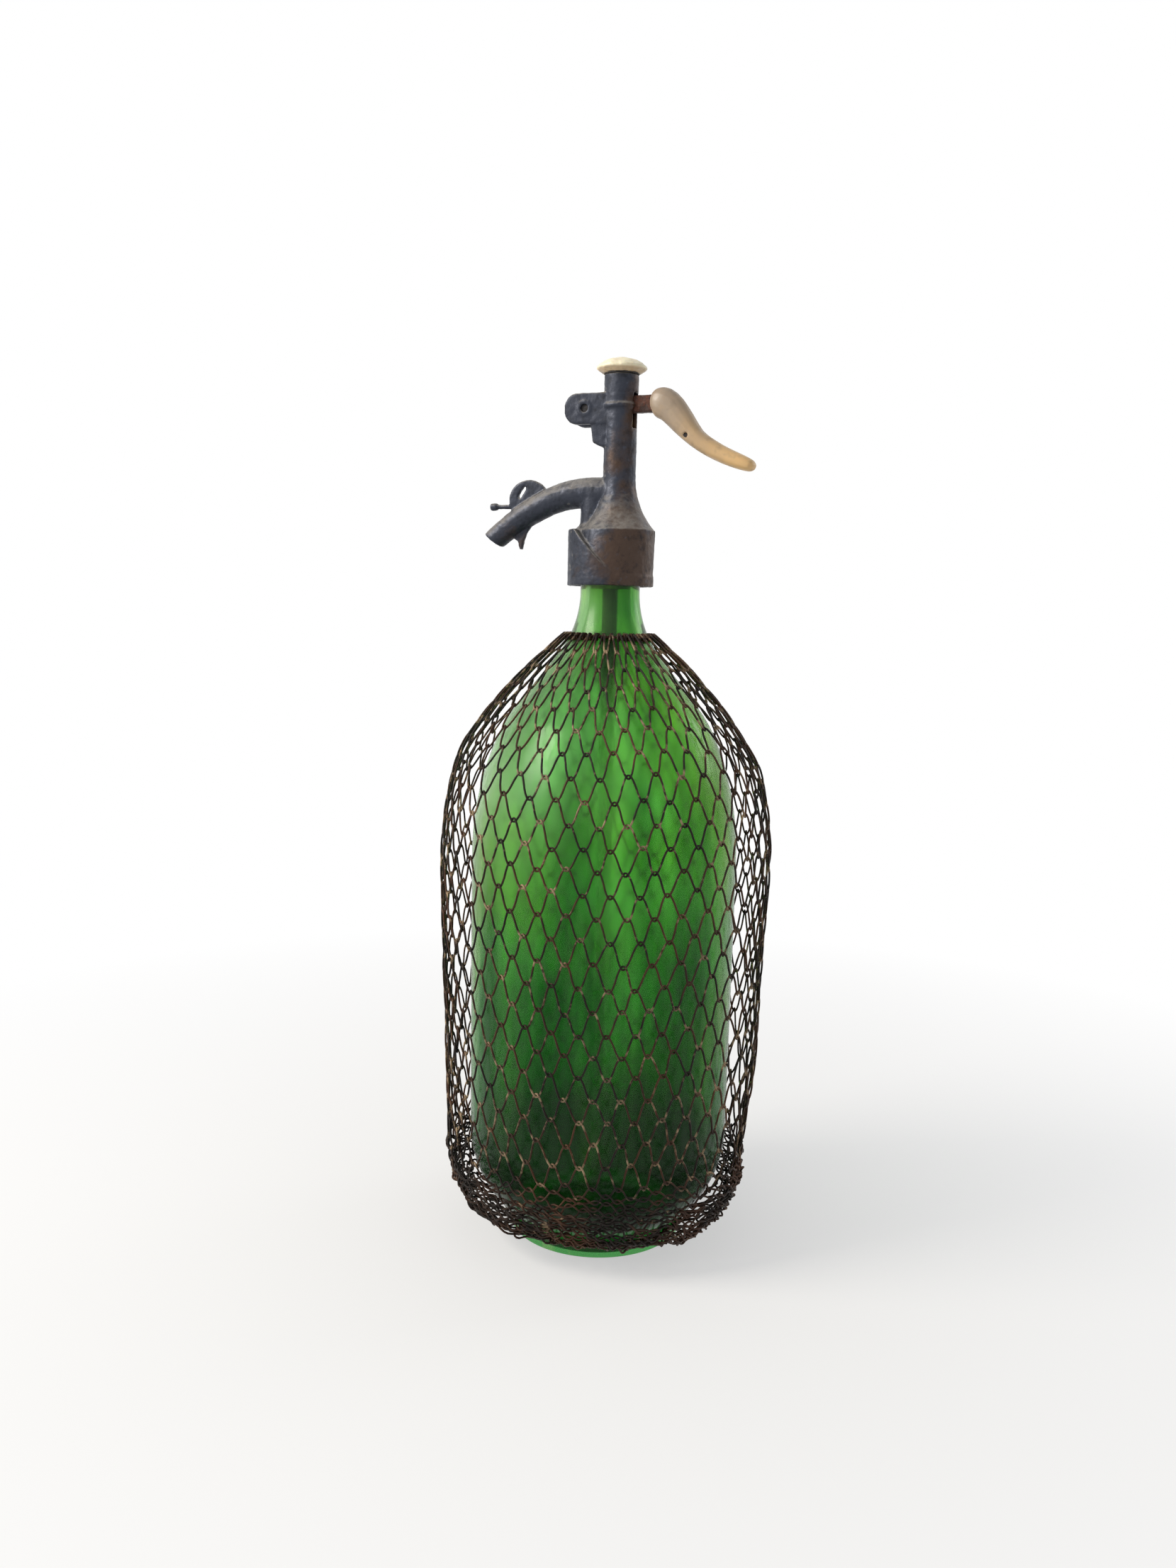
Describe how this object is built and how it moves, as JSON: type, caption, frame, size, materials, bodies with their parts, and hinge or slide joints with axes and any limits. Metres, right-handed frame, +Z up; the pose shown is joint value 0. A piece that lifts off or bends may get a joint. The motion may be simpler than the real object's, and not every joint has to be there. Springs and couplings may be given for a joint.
{
  "type": "soda siphon",
  "caption": "Refillable soda siphon: a netted green glass bottle with a cast head, curved spout, spring valve and hand lever",
  "frame": {"origin": "centre of the foot, on the surface that the bottle stands on", "axes": "+Z up along the bottle's axis, -X towards the spout, +X towards the lever's grip, Y from side to side"},
  "size_m": [0.131, 0.131, 0.3447],
  "materials": {
    "green_glass": "thick green glass, glossy, with seeds and streaks",
    "clear_glass": "thin clear glass",
    "rusted_wire": "dark, rusted steel wire",
    "head_metal": "cast tin alloy with a dark grey-brown patina",
    "brass": "turned brass",
    "rubber": "black rubber",
    "red_rubber": "old red rubber",
    "spring_steel": "drawn spring wire",
    "dark_steel": "dark steel",
    "rusted_iron": "flat bar with red-brown rust",
    "cream_plastic": "yellowed cream plastic",
    "grip_plastic": "yellowed plastic, greyer at the shoulder and amber at the tip"
  },
  "bodies": {
    "bottle": {"glass_bottle": "green_glass", "wire_net": "rusted_wire", "net_top_hoop": "rusted_wire", "net_base_hoop": "rusted_wire", "neck_ring_front": "brass", "neck_ring_rear": "brass", "tube_ferrule": "brass", "tube_seal": "rubber", "dip_tube": "clear_glass", "neck_gasket": "red_rubber", "head_body": "head_metal", "valve_seat": "brass", "spring_seat": "brass", "return_spring": "spring_steel", "cap_washer": "rubber", "cap_plug": "cream_plastic", "pivot_pin": "dark_steel"},
    "lever": {"lever_arm": "rusted_iron", "lever_grip": "grip_plastic", "grip_rivet": "dark_steel"},
    "valve": {"valve_stem": "brass", "valve_disc": "red_rubber", "disc_retainer": "brass", "stem_packing": "rubber", "packing_washer": "brass"}
  },
  "joints": [
    {"name": "lever_hinge", "type": "hinge", "parent": "bottle", "child": "lever", "pos_m": [-0.0104, 0, 0.3259], "axis": [0, 1, 0], "range_deg": [0, 12.15], "stiffness_Nm_per_rad": 0.02, "springref_deg": -14.32},
    {"name": "valve_slide", "type": "slide", "parent": "bottle", "child": "valve", "axis": [0, 0, -1], "range_m": [0, 0.00279], "stiffness_N_per_m": 40, "springref_m": -0.004, "deforming": ["return_spring"]}
  ],
  "couplings": [
    {"joint": "lever_hinge", "follows": "valve_slide", "rad_per_m": 75.2}
  ]
}
